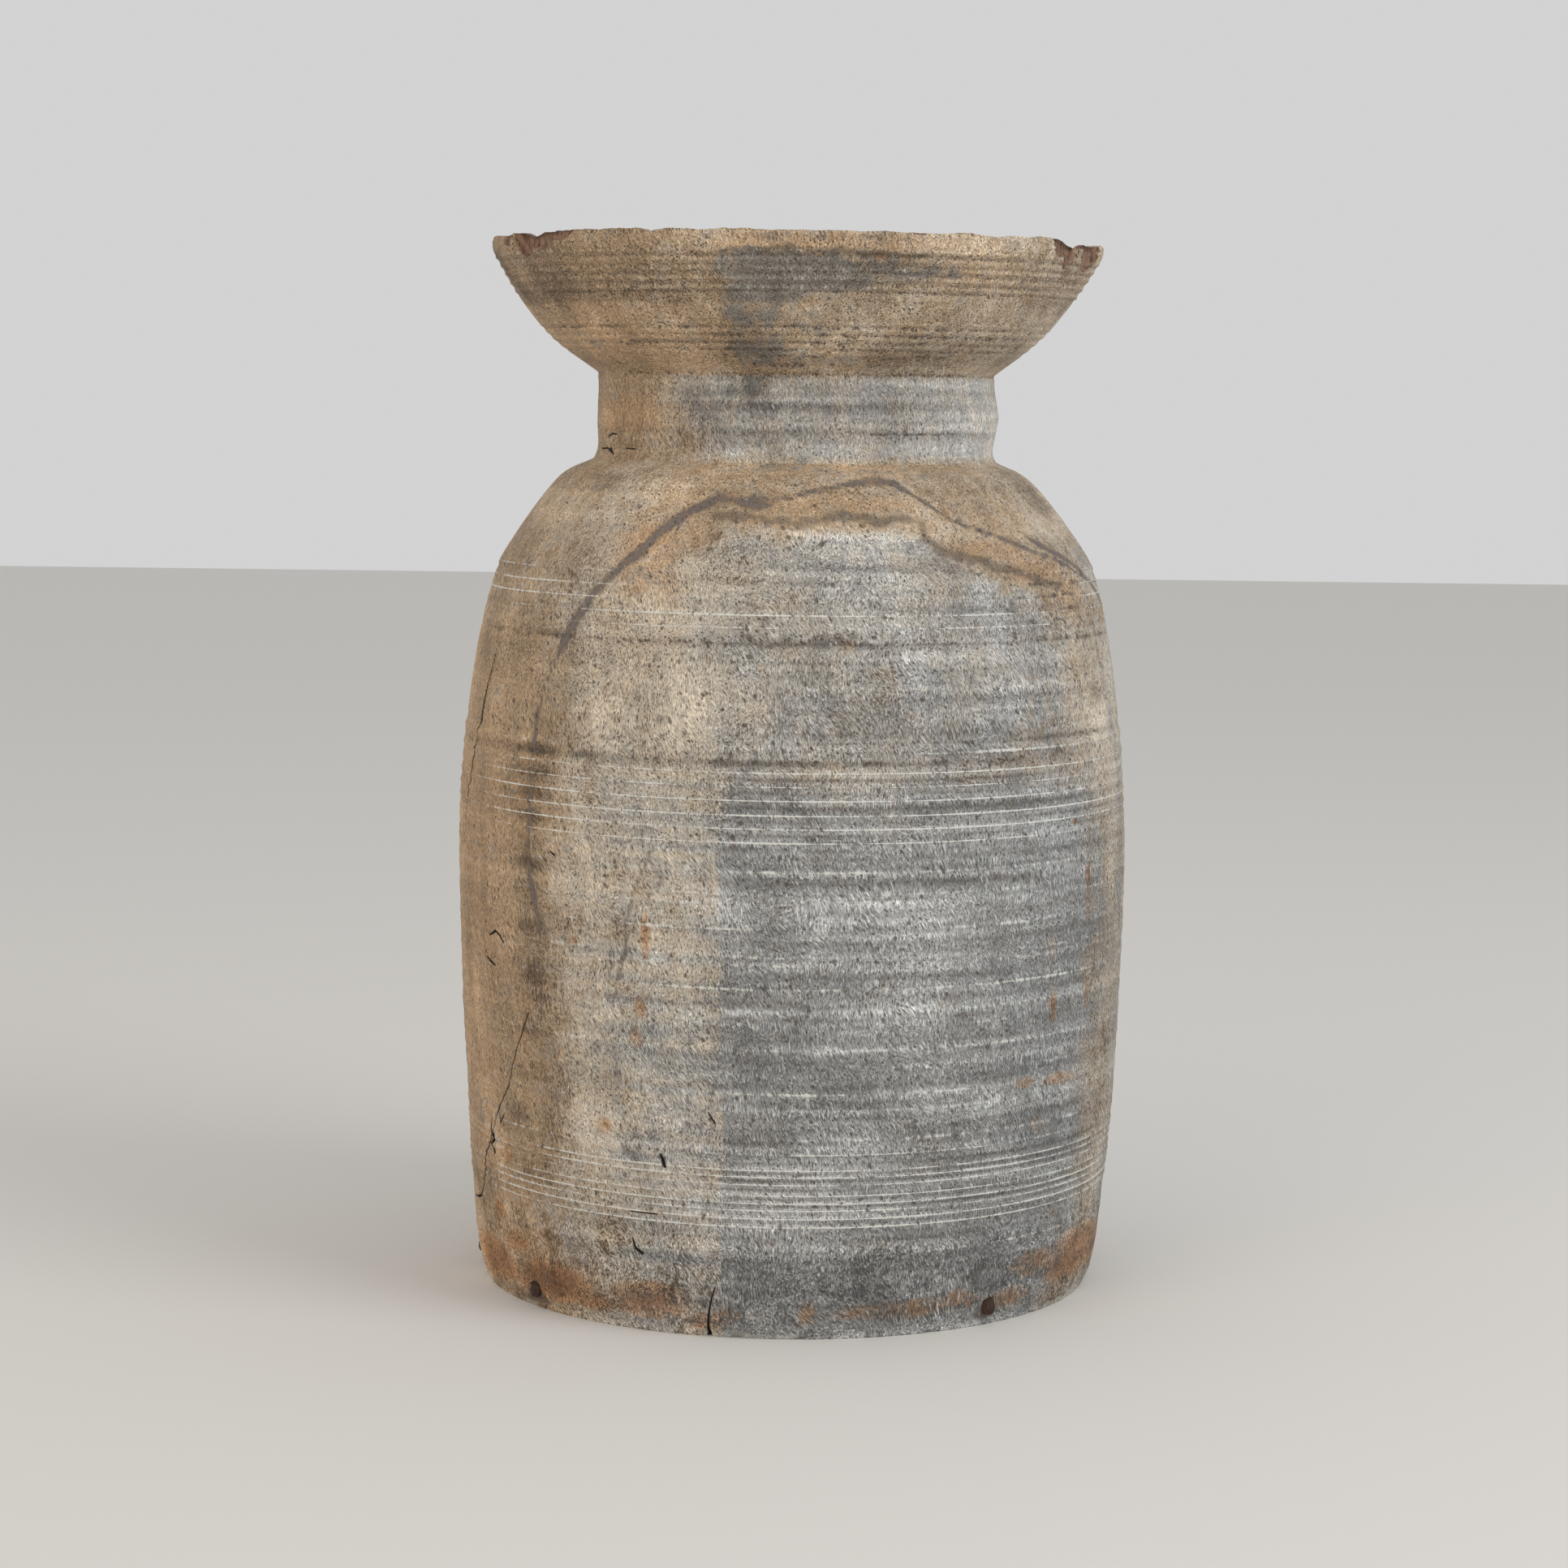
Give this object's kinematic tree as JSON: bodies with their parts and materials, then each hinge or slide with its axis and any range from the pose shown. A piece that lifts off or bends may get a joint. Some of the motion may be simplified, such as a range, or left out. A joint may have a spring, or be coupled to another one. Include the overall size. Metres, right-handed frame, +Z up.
{
  "type": "turned wooden vase",
  "caption": "Weathered turned wooden pot with a flared rim, waisted neck and broad shouldered body, closed by a separate bottom board nailed through the wall.",
  "frame": {"origin": "centre of the foot, on the surface the pot stands on", "axes": "+Z up along the turning axis to the mouth, -Y to the front face with the grey weathered panel, +X to the right as seen from the front"},
  "size_m": [0.272, 0.272, 0.42],
  "materials": {
    "weathered_wood": "dry grey-brown weathered end of a turned log, fine turning rings, worn pale high spots",
    "bottom_board_wood": "rough dark unfinished board",
    "putty": "dry pale lime putty, chalky",
    "rusted_iron": "hand-forged iron, dark brown rust"
  },
  "bodies": {
    "root": {"vessel_body": "weathered_wood", "bottom_board": "bottom_board_wood", "putty_seal": "putty", "nail_left": "rusted_iron", "nail_front_left": "rusted_iron", "nail_front_right": "rusted_iron", "nail_right": "rusted_iron", "nail_back_right": "rusted_iron", "nail_back_left": "rusted_iron"}
  },
  "joints": []
}
